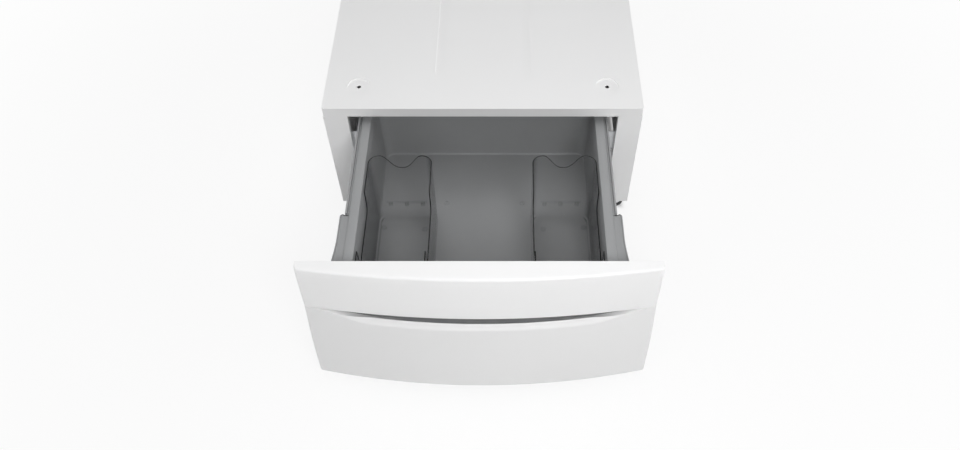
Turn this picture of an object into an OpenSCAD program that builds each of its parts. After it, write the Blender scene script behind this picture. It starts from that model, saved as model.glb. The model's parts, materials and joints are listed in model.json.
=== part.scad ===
// Pedestal with a pull-out drawer, for standing under a 27 inch front-loading washer.
// The drawer is drawn pulled out to its stops. The origin is on the floor, at the
// centre of the ground that the pedestal and its open drawer cover.

/* [Cabinet] */
// Width of the cabinet and of the drawer front
cab_w = 686; // [660:1:720]
// Depth of the cabinet from its front flanges to its back panel
cab_d = 620; // [600:1:680]
// Height of the deck above the floor
cab_h = 345; // [340:1:380]
// Underside of the sheet metal above the floor
body_z = 33; // [30:1:44]
// Thickness of the painted sheet steel
sheet = 1.2; // [1:0.1:1.5]
// Width of each front flange beside the drawer opening
flange_w = 52; // [48:1:54]
// Height of the deck's turned-down skirt
skirt_h = 23; // [20:1:25]

/* [Washer fixing] */
// Distance between the left and right hold-down holes
leg_span_x = 540; // [500:1:560]
// Distance between the front and rear hold-down holes
leg_span_y = 480; // [440:1:500]
// Diameter of a hold-down hole
leg_hole_d = 9; // [7:0.5:10]

/* [Drawer] */
// How far the drawer pulls out
travel = 383; // [300:1:390]
// Height of the tub's rim above the floor
rim_z = 300; // [290:1:304]
// Height of the tub's floor above the ground
tub_floor_z = 90; // [80:1:110]
// Half of the tub's inner width at the rim
tub_half = 243; // [242:0.5:244]
// Length of the tub's inside, front to back
tub_l = 488; // [460:1:500]
// Wall thickness of the tub
tub_wall = 2.8; // [2.5:0.1:3]
// Width of the flat band of the rim
band_w = 19; // [17:0.5:19]

/* [Drawer front] */
// Height of the front's bottom edge above the floor
front_bot = 30; // [26:1:36]
// Height of the front's top surface above the floor
front_top = 335; // [330:1:340]
// Depth of the front's top surface at its middle
top_depth = 44.5; // [40:0.5:50]
// Bow of the top edge over the whole width
top_bow = 26; // [20:1:30]
// Height of the pull's lip above the floor
lip_z = 221; // [215:1:230]
// Depth of the front at the pull's lip, at its middle
lip_depth = 57.5; // [54:0.5:60]
// Bow of the pull's lip over the whole width
lip_bow = 30; // [26:1:32]
// Depth of the lower face at the height of the lip, at its middle
low_depth = 67.4; // [64:0.2:69]
// Bow of the lower face over the whole width
low_bow = 40; // [34:1:41]
// Forward flare of the lower face per unit of height
flare = 0.188; // [0.12:0.002:0.2]
// Share by which the flare grows from the middle to the sides
flare_gain = 0.1; // [0:0.05:0.2]
// How much each side draws in at the bottom
side_taper = 4.5; // [2:0.5:8]
// Height at which the sides start to draw in
side_turn = 150; // [120:5:200]
// Wall thickness of the front moulding
front_wall = 3; // [2.6:0.1:3.2]

/* [Dividers] */
// Half of the clear gap between the two dividers
divider_in = 105; // [95:1:120]
// Height of a divider's high walls above the floor
divider_top = 297; // [285:1:298]
// How far the side walls dip in their middle
divider_dip = 52; // [30:1:60]
// How far the back wall is scooped out
scoop_dip = 37; // [25:1:42]
// Wall thickness of a divider
divider_wall = 2.2; // [2:0.1:2.5]

/* [Slides] */
// Length of each slide member
slide_l = 450; // [440:1:460]
// Height of a slide's centre line above the floor
slide_z = 235; // [232:1:240]
// Balls in each row
balls_per_row = 6; // [4:1:8]

/* [Feet] */
// Distance of a foot's centre from the cabinet's side
foot_in_x = 27; // [26:1:32]
// Distance of a foot's centre from the cabinet's front or back
foot_in_y = 32; // [30:1:40]
// Diameter of a rubber shoe
shoe_d = 44; // [40:1:46]
// Diameter of a foot's stem
stem_d = 10; // [8:1:10]

/* [Hidden] */

$fn = 48;
eps = 0.01;
half_w = cab_w / 2;

// The cabinet's front plane is y = 0 while a piece is drawn. The closed front
// keeps a small gap to it, and the open one stands forward by the travel.
front_gap = 3;
back_y = -travel - front_gap;
toe_h = 4;
foremost_y = back_y - low_depth - flare * (lip_z - front_bot - toe_h);
back_head = 0.9;
origin_y = (foremost_y + cab_d + back_head) / 2;

// Levels of the cabinet
deck_t = 1.5;
deck_under = cab_h - deck_t;
skirt_z = cab_h - skirt_h;
base_top = 66;
opening_x = half_w - flange_w;
return_l = 14.4;
back_lip = 15;
joggle = sheet * 2;

// Colours
paint = [0.80, 0.80, 0.80];
zinc = [0.72, 0.73, 0.74];
bright = [0.86, 0.87, 0.88];
grey_plastic = [0.55, 0.55, 0.55];
white_plastic = [0.94, 0.94, 0.94];
smoke = [0.60, 0.63, 0.65, 0.35];
black_rubber = [0.08, 0.08, 0.08];

// ---------------------------------------------------------------- helpers

// Places what is drawn from the cabinet's front plane in the part's own frame
module placed() {
    translate([0, -origin_y, 0]) children();
}

// Draws the right-hand side piece, or its mirror image for the left-hand side
module handed(side) {
    placed()
        if (side == "right") children();
        else mirror([1, 0, 0]) children();
}

// A box given by its lowest and highest corners
module block(low, high) {
    translate(low) cube(high - low);
}

// A rectangle centred on the origin with true round corners
module round_rect(w, d, r) {
    square([w - 2 * r, d], center = true);
    square([w, d - 2 * r], center = true);
    for (sx = [-1, 1], sy = [-1, 1])
        translate([sx * (w / 2 - r), sy * (d / 2 - r)]) circle(r);
}

// A straight slot with round ends, along x
module slot(l, w) {
    square([l - w, w], center = true);
    for (s = [-1, 1])
        translate([s * (l - w) / 2, 0]) circle(d = w);
}

// Extrudes a profile drawn in (x, z) along y, from y0 to y1
module along_y(y0, y1) {
    translate([0, y1, 0]) rotate([90, 0, 0]) linear_extrude(y1 - y0) children();
}

// Extrudes a profile drawn in (y, z) along x, from x0 to x1
module along_x(x0, x1) {
    translate([x0, 0, 0]) rotate([90, 0, 90]) linear_extrude(x1 - x0) children();
}

// Extrudes a plan drawn in (x, y) from z0 to z1
module upright(z0, z1) {
    translate([0, 0, z0]) linear_extrude(z1 - z0) children();
}

// A solid through a row of sections along x that all have the same number of points.
// A section runs forward along its top, down its front and back along its bottom, and
// every point of the two end sections is in sight of their first point.
module loft(sections) {
    n = len(sections[0]);
    m = len(sections);
    points = [for (s = sections) for (p = s) p];
    sides = [for (j = [0 : m - 2], i = [0 : n - 1], half = [0, 1])
        let (a = j * n + i, b = j * n + (i + 1) % n)
        half == 0 ? [a, a + n, b + n] : [a, b + n, b]];
    first = [for (i = [0 : n - 1]) i];
    last = [for (i = [0 : n - 1]) (m - 1) * n + (n - i) % n];
    polyhedron(points, concat(sides, [first, last]), convexity = 8);
}

// Runs from 0 at a to 1 at b with level ends
function ease(a, b, x) =
    let (t = min(1, max(0, (x - a) / (b - a)))) t * t * (3 - 2 * t);

// ---------------------------------------------------------------- cabinet

// Side sheet in plan: side wall, front flange, its return lip and the back lip
module side_plan() {
    translate([half_w - sheet, 0]) square([sheet, cab_d]);
    translate([opening_x, 0]) square([flange_w, sheet]);
    translate([opening_x, 0]) square([sheet, return_l]);
    translate([half_w - sheet - back_lip, cab_d - 2 * sheet]) square([back_lip + sheet, sheet]);
}

module side_panel(side) {
    bottom_lip = 15;
    step_end = 8;
    color(paint) handed(side) difference() {
        union() {
            upright(body_z, skirt_z - sheet) side_plan();
            // wall and flange rise to the skirt; the return lip stops below the header
            block([half_w - sheet, 0, skirt_z - sheet - eps], [half_w, cab_d - sheet, skirt_z]);
            block([opening_x, 0, skirt_z - sheet - eps], [half_w, sheet, skirt_z]);
            // the top steps in by one sheet and stands inside the deck's skirt
            block([half_w - joggle, step_end, skirt_z - sheet],
                [half_w, cab_d - step_end, skirt_z]);
            block([half_w - joggle, step_end, skirt_z - sheet],
                [half_w - sheet, cab_d - step_end, deck_under]);
            block([half_w - bottom_lip, return_l, body_z],
                [half_w, cab_d - 2 * sheet, body_z + sheet]);
        }
        for (p = back_screw_spots) if (p[0] > 0)
            translate([p[0], 0, p[1]]) along_y(cab_d - 3 * sheet, cab_d) circle(d = 4.2);
    }
}

// A sheet in the x-z plane with a rectangular field pressed in towards -y
module pressed_sheet(w, z0, z1, y, margin_x, margin_z, depth) {
    r = 18;
    zc = (z0 + z1) / 2;
    h = z1 - z0;
    difference() {
        union() {
            block([-w / 2, y, z0], [w / 2, y + sheet, z1]);
            translate([0, 0, zc]) along_y(y - depth, y + sheet)
                round_rect(w - 2 * margin_x, h - 2 * margin_z, r);
        }
        translate([0, 0, zc]) along_y(y - depth + sheet, y + sheet + 1)
            round_rect(w - 2 * (margin_x + sheet), h - 2 * (margin_z + sheet), r - sheet);
    }
}

back_screw_spots = [for (s = [-1, 1], k = [0 : 4])
    [s * (half_w - sheet - back_lip / 2), body_z + 25 + k * 58]];

module back_panel() {
    side_margin = 88;
    // the pressed field stays clear of the rail behind the panel's bottom edge
    end_margin = base_top - body_z + 4;
    color(paint) placed() difference() {
        pressed_sheet(2 * (half_w - sheet), body_z, skirt_z, cab_d - sheet,
            side_margin, end_margin, 4);
        for (p = back_screw_spots)
            translate([p[0], 0, p[1]]) along_y(cab_d - 2 * sheet, cab_d + 1) circle(d = 4.2);
    }
}

// Pan-head screws whose shanks end flush with the back lips
module back_screws() {
    color(zinc) placed()
        for (p = back_screw_spots) translate([p[0], cab_d, p[1]]) {
            along_y(-2 * sheet, eps) circle(d = 4);
            pan_head(9, back_head);
        }
}

// A low domed head on the plane y = 0, standing out along +y
module pan_head(d, h) {
    rotate([-90, 0, 0]) rotate_extrude()
        polygon([[0, 0], [d / 2, 0], [d / 2, h * 0.5], [d / 2 - h * 0.5, h], [0, h]]);
}

leg_spots = [for (sx = [-1, 1], sy = [-1, 1])
    [sx * leg_span_x / 2, cab_d / 2 + sy * leg_span_y / 2]];
cup_d = 50;
cup_h = 3;

// Lid with a skirt all round, four leg cups and two stiffening beads
module top_deck() {
    corner = 6;
    bead_l = 420;
    bead_w = 24;
    color(paint) placed() difference() {
        union() {
            translate([0, cab_d / 2, 0]) upright(skirt_z, cab_h) difference() {
                round_rect(cab_w, cab_d, corner);
                round_rect(cab_w - 2 * sheet, cab_d - 2 * sheet, corner - sheet);
            }
            translate([0, cab_d / 2, 0]) upright(deck_under, cab_h)
                round_rect(cab_w - sheet, cab_d - sheet, corner - sheet / 2);
            for (p = leg_spots)
                translate([p[0], p[1], 0]) upright(deck_under - cup_h, deck_under + eps)
                    circle(d = cup_d + 2 * deck_t);
            for (s = [-1, 1]) translate([s * 95, cab_d / 2, 0])
                upright(deck_under - 2, deck_under + eps) rotate(90) slot(bead_l, bead_w);
        }
        for (p = leg_spots) translate([p[0], p[1], 0]) {
            upright(cab_h - cup_h, cab_h + 1) circle(d = cup_d);
            upright(deck_under - cup_h - 1, cab_h) circle(d = leg_hole_d);
        }
        for (s = [-1, 1]) translate([s * 95, cab_d / 2, 0])
            upright(cab_h - 2, cab_h + 1) rotate(90) slot(bead_l - 2 * deck_t, bead_w - 2 * deck_t);
    }
}

// Cross-member under the deck; its lower flange closes the top of the opening
module deck_rail(web_y, flange_y0, flange_y1) {
    x = half_w - 7;
    color(paint) placed() {
        block([-x, web_y, skirt_z - sheet], [x, web_y + sheet, deck_under]);
        block([-x + back_lip, flange_y0, skirt_z - sheet], [x - back_lip, flange_y1, skirt_z]);
    }
}

rail_reach = 36;

module header_rail() {
    deck_rail(sheet, sheet, rail_reach);
}

module rear_rail() {
    deck_rail(cab_d - 2 * sheet, cab_d - rail_reach, cab_d - sheet);
}

// Hat channel below the deck, under one side's washer legs
module deck_channel(side) {
    w = 66;
    flange = 10;
    low = skirt_z + 4;
    y0 = rail_reach + 2;
    y1 = cab_d - rail_reach - 2;
    color(zinc) handed(side) difference() {
        translate([leg_span_x / 2, 0, 0]) along_y(y0, y1) {
            translate([-w / 2, low]) square([w, sheet]);
            for (s = [-1, 1]) {
                translate([s * (w - sheet) / 2 - sheet / 2, low]) square([sheet, deck_under - low]);
                translate([s * (w + flange) / 2 - flange / 2, deck_under - sheet])
                    square([flange, sheet]);
            }
        }
        for (p = leg_spots) if (p[0] > 0)
            translate([p[0], p[1], 0]) upright(low - 1, low + sheet + 1) circle(d = 24);
    }
}

// Cross-member between the front flanges, below the drawer opening
module base_rail_front() {
    reach = 22;
    x = opening_x - sheet;
    color(paint) placed() {
        block([-opening_x, 0, body_z], [opening_x, sheet, base_top]);
        for (z = [body_z, base_top - sheet]) block([-x, 0, z], [x, reach, z + sheet]);
    }
}

module base_rail_rear() {
    x = half_w - sheet - back_lip;
    y = cab_d - sheet;
    reach = 18;
    color(paint) placed() {
        block([-x, y - sheet, body_z], [x, y, base_top]);
        block([-x, y - reach, body_z], [x, y, body_z + sheet]);
    }
}

foot_x = half_w - foot_in_x;
foot_y = [foot_in_y, cab_d - foot_in_y];
bracket_z = body_z + sheet;
bracket_t = 3;
nut_af = 17;
nut_h = 8;
stem_gap = 0.06;

// Six-sided prism, given across its flats
module hexagon(af, h) {
    cylinder(d = af / cos(30), h = h, $fn = 6);
}

// Gusset in a bottom corner with a hexagon boss for the foot's stem.
// It is drawn for the front right corner; end is +1 in front and -1 at the back.
module corner_bracket(side, end) {
    y = end > 0 ? 0 : cab_d;
    ear = 34;
    in = sheet + (end > 0 ? 0 : sheet);
    y_near = end > 0 ? y + in : y - in - bracket_t;
    y_far = 62;
    color(zinc) handed(side) difference() {
        union() {
            block([opening_x + sheet, min(y + end * in, y + end * y_far), bracket_z],
                [half_w - sheet, max(y + end * in, y + end * y_far), bracket_z + bracket_t]);
            block([half_w - sheet - bracket_t, min(y + end * in, y + end * y_far), bracket_z],
                [half_w - sheet, max(y + end * in, y + end * y_far), bracket_z + ear]);
            block([opening_x + sheet, y_near, bracket_z],
                [half_w - sheet, y_near + bracket_t, bracket_z + ear]);
            translate([foot_x, end > 0 ? foot_y[0] : foot_y[1], bracket_z])
                hexagon(nut_af, bracket_t + 9);
        }
        translate([foot_x, end > 0 ? foot_y[0] : foot_y[1], bracket_z - 1])
            cylinder(r = stem_d / 2 + stem_gap, h = 30);
    }
}

module foot_lock_nuts() {
    color(zinc) placed() for (sx = [-1, 1], y = foot_y)
        translate([sx * foot_x, y, bracket_z - nut_h]) difference() {
            hexagon(nut_af, nut_h);
            translate([0, 0, -1]) cylinder(r = stem_d / 2 + stem_gap, h = nut_h + 2);
        }
}

disc_z = 4;
disc_top = 10;

// Stem with a wrench hexagon and the disc that the shoe holds
module foot_stem(side, end) {
    color(zinc) handed(side) translate([foot_x, end > 0 ? foot_y[0] : foot_y[1], 0]) {
        rotate_extrude() polygon([[0, disc_z], [shoe_d / 2 - 3, disc_z], [shoe_d / 2 - 3, disc_top - 2],
            [12, disc_top + 3], [stem_d / 2, disc_top + 3], [stem_d / 2, bracket_z + 34],
            [stem_d / 2 - 1, bracket_z + 35], [0, bracket_z + 35]]);
        translate([0, 0, disc_top + 2]) hexagon(14, 9);
    }
}

// Black rubber shoe, a cup round the disc
module foot_shoe(side, end) {
    r = shoe_d / 2;
    color(black_rubber) handed(side) translate([foot_x, end > 0 ? foot_y[0] : foot_y[1], 0])
        rotate_extrude() polygon([[0, 0], [r - 1.5, 0], [r, 1.5], [r, disc_top - 1],
            [r - 1, disc_top], [r - 3, disc_top], [r - 3, disc_z], [0, disc_z]]);
}

// ---------------------------------------------------------------- slides

// A slide's section is drawn with u outwards from the tub and v upwards.
slide_x = tub_half + 6;
slide_t = 12.7;
steel = 1.2;
closed_y0 = 5;
mid_share = 0.5;
outer_cage_share = 0.25;
inner_cage_share = 0.75;

cab_half_h = 22.5;
mid_half_h = 17;
drawer_half_h = 12;
ball_gap = 0.05;
outer_ball_u = 7.4;
inner_ball_u = 6.3;
outer_ball_r = (cab_half_h - steel - mid_half_h) / 2 - ball_gap;
inner_ball_r = (mid_half_h - steel - drawer_half_h) / 2 - ball_gap;
outer_ball_v = (cab_half_h - steel + mid_half_h) / 2;
inner_ball_v = (mid_half_h - steel + drawer_half_h) / 2;
cage_l = 130;
cage_t = 0.6;
outer_cage_y = 60;
inner_cage_y = -120;

// C section: a web at u_web and two flanges to u_end, with small curls at their ends
module c_section(u_web, u_end, half_h, curl) {
    u0 = min(u_web, u_end);
    u1 = max(u_web + steel, u_end + steel);
    translate([u_web, -half_h]) square([steel, 2 * half_h]);
    for (s = [-1, 1]) {
        translate([u0, s * (half_h - steel / 2) - steel / 2]) square([u1 - u0, steel]);
        if (curl > 0)
            translate([u_end, s * (half_h - (steel + curl) / 2) - (steel + curl) / 2])
                square([steel, steel + curl]);
    }
}

// A slide member from y0, on the right-hand side of the drawer
module slide_piece(side, y0, tone) {
    color(tone) handed(side) translate([slide_x, 0, slide_z])
        along_y(y0, y0 + slide_l) children();
}

module slide_cabinet_member(side) {
    color(zinc) handed(side) difference() {
        translate([slide_x, 0, slide_z]) along_y(closed_y0, closed_y0 + slide_l)
            c_section(slide_t - steel, 2, cab_half_h, 2.2);
        for (y = rivet_spots) translate([0, y, slide_z]) rotate([0, 90, 0])
            cylinder(d = 5.2, h = 2 * half_w);
    }
}

module slide_middle_member(side) {
    slide_piece(side, closed_y0 - mid_share * travel, zinc)
        c_section(8.9, 3, mid_half_h, 1.6);
}

module slide_drawer_member(side) {
    color(zinc) handed(side) difference() {
        translate([slide_x, 0, slide_z]) along_y(closed_y0 - travel, closed_y0 - travel + slide_l)
            c_section(0, 6.3, drawer_half_h, 0);
        for (y = screw_spots) translate([0, y, slide_z]) rotate([0, 90, 0])
            cylinder(d = 4.4, h = 2 * half_w);
    }
}

// Ball cage: a thin C strip with a square window round each ball
module ball_cage(side, y0, web_u, strip_u, ball_u, ball_v, r) {
    pitch = cage_l / balls_per_row;
    color(bright) handed(side) translate([slide_x, 0, slide_z]) difference() {
        along_y(y0, y0 + cage_l) {
            translate([web_u, -ball_v - cage_t / 2]) square([cage_t, 2 * ball_v + cage_t]);
            for (s = [-1, 1])
                translate([min(strip_u, web_u), s * ball_v - cage_t / 2])
                    square([abs(web_u - strip_u) + cage_t, cage_t]);
        }
        for (s = [-1, 1], k = [0 : balls_per_row - 1])
            translate([ball_u, y0 + (k + 0.5) * pitch, s * ball_v])
                cube([2 * r + 0.3, 2 * r + 0.3, 4], center = true);
    }
}

module ball_set(side, y0, ball_u, ball_v, r) {
    pitch = cage_l / balls_per_row;
    color(bright) handed(side) translate([slide_x, 0, slide_z])
        for (s = [-1, 1], k = [0 : balls_per_row - 1])
            translate([ball_u, y0 + (k + 0.5) * pitch, s * ball_v]) sphere(r, $fn = 24);
}

module outer_cage(side) {
    ball_cage(side, outer_cage_y, 10.5, 4.6, outer_ball_u, outer_ball_v, outer_ball_r);
}

module inner_cage(side) {
    ball_cage(side, inner_cage_y, 8, 4.5, inner_ball_u, inner_ball_v, inner_ball_r);
}

module outer_balls(side) {
    ball_set(side, outer_cage_y, outer_ball_u, outer_ball_v, outer_ball_r);
}

module inner_balls(side) {
    ball_set(side, inner_cage_y, inner_ball_u, inner_ball_v, inner_ball_r);
}

rivet_spots = [closed_y0 + 20, closed_y0 + 150, closed_y0 + 290, closed_y0 + 425];
screw_spots = [back_y + 30, back_y + 150, back_y + 270, back_y + 430];
screw_bite = 5.5;

// Folded rail from the front flange's return lip to the back panel
module slide_rail(side) {
    x = slide_x + slide_t;
    t = 1.5;
    z0 = slide_z - 30;
    z1 = slide_z + 26;
    y1 = cab_d - 2 * sheet;
    color(zinc) handed(side) difference() {
        upright(z0, z1) {
            translate([x, return_l]) square([t, y1 - return_l]);
            translate([x, return_l]) square([half_w - sheet - x - 14, t]);
            translate([x, y1 - t]) square([half_w - sheet - x, t]);
        }
        for (y = rivet_spots) translate([x - 1, y, slide_z]) rotate([0, 90, 0])
            cylinder(d = 5.2, h = 4);
    }
}

// Rivets, flush inside the slide and headed on the outer side of the rail
module slide_rivets() {
    t = 1.5;
    color(zinc) for (side = ["left", "right"]) handed(side) for (y = rivet_spots)
        translate([slide_x + slide_t - steel, y, slide_z]) rotate([0, 90, 0]) {
            cylinder(d = 5, h = steel + t);
            translate([0, 0, steel + t]) cylinder(d1 = 9, d2 = 6, h = 1.8);
        }
}

// Pan-head screws from the drawer member into the tub's mounting pad
module slide_screws() {
    color(zinc) for (side = ["left", "right"]) handed(side) for (y = screw_spots)
        translate([slide_x, y, slide_z]) rotate([0, 90, 0]) {
            translate([0, 0, -screw_bite]) cylinder(d = 4, h = screw_bite + steel);
            translate([0, 0, steel]) cylinder(d1 = 8.5, d2 = 6.5, h = 2);
        }
}

// ---------------------------------------------------------------- drawer

tub_front = back_y + tub_wall;
tub_back = tub_front + tub_l;
tub_draft = 3;
corner_r = 20;
floor_r = 5;
groove_w = 5;
lip_w = 4;
band_x = tub_half + band_w;
lip_x = band_x + groove_w + lip_w;
lip_drop = 22;
groove_drop = 9;
boss_spots = [for (x = [-210, 0, 210], z = [125, 270]) [x, z]];
boss_screw_d = 3.8;
boss_hole_d = 3.9;

// Round-cornered box whose sides and back narrow towards its rounded bottom edge
module drafted_box(half, y0, y1, z0, z1, r) {
    hull() for (sx = [-1, 1], end = [0, 1]) {
        translate([sx * (half - r), end == 0 ? y0 + r : y1 - r, z1 - 1])
            cylinder(r = r, h = 1, $fn = 32);
        translate([sx * (half - tub_draft - r), end == 0 ? y0 + r : y1 - r - tub_draft, z0])
            rounded_post(r, floor_r);
    }
}

// Short post with a rounded foot, for the corners of a drafted box
module rounded_post(r, h) {
    rotate_extrude($fn = 32) {
        square([r - h, h + 1]);
        translate([0, h]) square([r, 1]);
        intersection() {
            translate([r - h, h]) circle(h, $fn = 24);
            square([r, h]);
        }
    }
}

// Plan from y0 back to y1, with round corners at the back only
module apron(half, y0, y1, r) {
    translate([-half, y0]) square([2 * half, y1 - y0 - r]);
    translate([-half + r, y0]) square([2 * (half - r), y1 - y0]);
    for (s = [-1, 1])
        translate([s * (half - r), y1 - r]) circle(r);
}

// Strip of the rim between two aprons, starting at y0
module rim_strip(y0, out, in, z0, z1) {
    grow = tub_back - tub_half;
    upright(z0, z1) difference() {
        apron(out, y0, out + grow, out - tub_half + corner_r);
        apron(in, y0 - 1, in + grow, in - tub_half + corner_r);
    }
}

module drawer_tub() {
    t = tub_wall;
    rib_h = 7;
    pad_h = 22;
    slide_y0 = closed_y0 - travel;
    color(grey_plastic) placed() difference() {
        union() {
            drafted_box(tub_half + t, back_y, tub_back + t, tub_floor_z - t, rim_z, corner_r + t);
            // flat band of the rim
            upright(rim_z - t, rim_z)
                apron(band_x, back_y, tub_back + band_w, corner_r + band_w);
            rim_strip(back_y, band_x, band_x - t, rim_z - groove_drop, rim_z - t / 2);
            // behind the cheeks: a groove, and an outer lip with its turned-down skirt
            rim_strip(cheek_y0, lip_x, band_x - t, rim_z - groove_drop, rim_z - groove_drop + t);
            rim_strip(cheek_y0, lip_x, lip_x - lip_w, rim_z - lip_drop, rim_z);
            // pads that the slides are screwed to
            for (s = [-1, 1]) block([s > 0 ? tub_half - 12 : -slide_x, slide_y0, slide_z - pad_h / 2],
                [s > 0 ? slide_x : -tub_half + 12, slide_y0 + slide_l, slide_z + pad_h / 2]);
            // ribs under the floor
            for (y = [-300 : 75 : 75]) block([-195, y - 1, tub_floor_z - t - rib_h],
                [195, y + 1, tub_floor_z - t / 2]);
            for (x = [-150 : 75 : 150]) block([x - 1, -330, tub_floor_z - t - rib_h],
                [x + 1, 78, tub_floor_z - t / 2]);
        }
        drafted_box(tub_half, tub_front, tub_back, tub_floor_z, rim_z + 2, corner_r);
        for (s = [-1, 1], y = screw_spots) translate([s * (slide_x - screw_bite), y, slide_z])
            rotate([0, s * 90, 0]) cylinder(d = 4.1, h = screw_bite + 1);
        for (p = boss_spots) translate([p[0], 0, p[1]]) along_y(back_y - 1, tub_front + 1)
            circle(d = boss_hole_d);
    }
    // small locating rings on the floor
    color(grey_plastic) placed() for (s = [-1, 1]) translate([s * 88, -52, tub_floor_z])
        floor_ring();
}

// Moulded ring standing on a floor
module floor_ring() {
    translate([0, 0, -eps]) difference() {
        cylinder(d = 12, h = 2);
        translate([0, 0, 0.6]) cylinder(d = 8, h = 3);
    }
}

cheek_y0 = -246;
cheek_x = 281;
cheek_bend_y = -308;
cheek_flare = 8;
cheek_top = rim_z - 3;
cheek_ledge = rim_z - 6;
cheek_low = slide_z + 28;
cheek_t = 2.5;

// Outer line of a cheek: straight, then bending out towards the drawer front
function cheek_line(inset) = [for (k = [0 : 16])
    let (y = cheek_y0 + (back_y - cheek_y0) * k / 16,
        t = max(0, (cheek_bend_y - y) / (cheek_bend_y - back_y)))
    [cheek_x - inset + cheek_flare * pow(t, 1.5), y]];

// Ledge beside the front part of the rim, with an outer wall and a wall at its back end
module side_cheek(side) {
    outer = cheek_line(0);
    inner = cheek_line(cheek_t);
    n = len(outer) - 1;
    color(grey_plastic) handed(side) {
        upright(cheek_low, cheek_top)
            polygon(concat(outer, [for (k = [n : -1 : 0]) inner[k]]));
        upright(cheek_ledge - cheek_t, cheek_ledge)
            polygon(concat([[band_x, cheek_y0]], outer, [[band_x, back_y]]));
        block([band_x, cheek_y0 - cheek_t, cheek_low], [cheek_x, cheek_y0, cheek_ledge]);
    }
}

// ---------------------------------------------------------------- drawer front

edge_r = 6;
lip_r = 2.5;
side_r = 6;
throat = 5;
ledge_wall = 2.6;
ledge_hollow = 9;
lip_wall = 4.6;
mouth_reach = 14;
mouth_rise = 8;
crest_clear = 1.5;
mouth_h = 11;
band_h = 21;
ledge_depth = 7;
band_flat = 207;
band_end = 292;

// Depth of the front's main lines at x, measured forward from its back plane
function bowed(depth, bow, x) = depth - bow * pow(x / half_w, 2);
function top_line(x) = bowed(top_depth, top_bow, x);
function lip_line(x) = bowed(lip_depth, lip_bow, x);
function low_line(x, z) =
    bowed(low_depth, low_bow, x) + bowed(flare, -flare * flare_gain, x) * (lip_z - z);
function upper_line(x, z) =
    let (t = (front_top - z) / (front_top - lip_z))
    top_line(x) + (lip_line(x) - top_line(x)) * t + 5 * t * (1 - t);

// The mouth of the pull and the bright ledge below it close towards the ends
function mouth(x) = max(0.08, 1 - ease(230, 330, abs(x)));
function ledge(x) = max(0.04, 1 - ease(band_flat, band_end, abs(x)));
function crest_z(x) = lip_z - mouth_h * mouth(x);
function crest_y(x) = low_line(x, crest_z(x)) - ledge_depth * ledge(x);
function ledge_z(x) = crest_z(x) - 1 - (band_h - mouth_h) * ledge(x);

// Outer profile at x as [forward, z], drawn back by pull at the rounded sides
function outer_profile(x, pull) =
    let (
        tl = top_line(x) - pull,
        ll = lip_line(x) - pull,
        g = throat * mouth(x),
        c = crest_z(x),
        l = ledge_z(x),
        arc = [for (a = [0 : 22.5 : 90]) [tl - edge_r + edge_r * sin(a), front_top - edge_r * (1 - cos(a))]],
        face = [for (k = [1 : 4]) let (z = front_top - edge_r - k * (front_top - edge_r - lip_z - lip_r) / 5)
            [upper_line(x, z) - pull, z]],
        lip = [[ll, lip_z + lip_r], [ll - 0.25 * lip_r * mouth(x), lip_z + 0.3 * lip_r],
            [ll - lip_r * mouth(x), lip_z]],
        crest = [[ll - g, lip_z - 0.4], [ll - g, c + 0.2 * mouth(x)],
            [crest_y(x) - pull, c]],
        band = [[low_line(x, l) - pull - 1.2 * ledge(x), l + 1.6 * ledge(x)],
            [low_line(x, l - 1.5) - pull, l - 1.5]],
        low = [for (k = [1 : 4]) let (z = l - 1.5 - k * (l - 1.5 - front_bot - toe_h) / 4)
            [low_line(x, z) - pull, z]],
        foot = [[low_line(x, front_bot + 1.2) - pull - 1.2, front_bot + 1.2],
            [low_line(x, front_bot) - pull - 4, front_bot]]
    )
    concat([[0, lip_z - 0.2], [0, front_top]], arc, face, lip, crest, band, low, foot, [[0, front_bot]]);

// Inner profile at x, one wall behind the outer one and open at the back
function inner_profile(x, pull) =
    let (
        w = front_wall,
        tl = top_line(x) - pull - w,
        ll = lip_line(x) - pull - w,
        g = throat * mouth(x),
        c = crest_z(x),
        l = ledge_z(x),
        deep = low_line(x, l) - pull - w
    )
    [[-1, lip_z], [-1, front_top - w], [tl - 2, front_top - w], [tl, front_top - w - 2],
        [ll, lip_z + 3 * w], [ll - g, lip_z + 2 * w], [ll - g, l - w],
        [deep - 1, l - 2 * w], [low_line(x, front_bot + w) - pull - w, front_bot + w],
        [-1, front_bot + w]];

// Stations across the front: even steps, then a quarter round at each side
function stations(half, r, steps) =
    let (flat = half - r)
    concat(
        [for (a = [90 : -22.5 : 22.5]) [-flat - r * sin(a), r * (1 - cos(a))]],
        [for (k = [0 : steps]) [-flat + 2 * flat * k / steps, 0]],
        [for (a = [22.5 : 22.5 : 90]) [flat + r * sin(a), r * (1 - cos(a))]]);

function front_sections(half, r, steps, inner) = [for (s = stations(half, r, steps))
    [for (p = inner ? inner_profile(s[0], s[1]) : outer_profile(s[0], s[1]))
        [s[0], back_y - p[0], p[1]]]];

// Edge of the front below side_turn, where the sides draw in, as [x, z] from the bottom up
function side_edge(inset) = [for (k = [0 : 8])
    let (z = front_bot + (side_turn - front_bot) * k / 8)
    [half_w - inset - side_taper * pow((side_turn - z) / (side_turn - front_bot), 1.5), z]];

// What is taken off both sides of the front so that they draw in
module side_cuts(inset) {
    reach = half_w + 10;
    for (s = [0, 1]) mirror([s, 0, 0]) along_y(back_y - 150, back_y + 5)
        polygon(concat([[half_w - inset - side_taper, front_bot - 5]], side_edge(inset),
            [[reach, side_turn], [reach, front_bot - 5]]));
}

// A band swept along the lip's bow; points are [forward of the lip, z]
function lip_sweep(x_end, steps, shape) = [for (k = [0 : steps])
    let (x = -x_end + 2 * x_end * k / steps)
    [for (p = shape) [x, back_y - lip_line(x) - p[0], p[1]]]];

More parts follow.
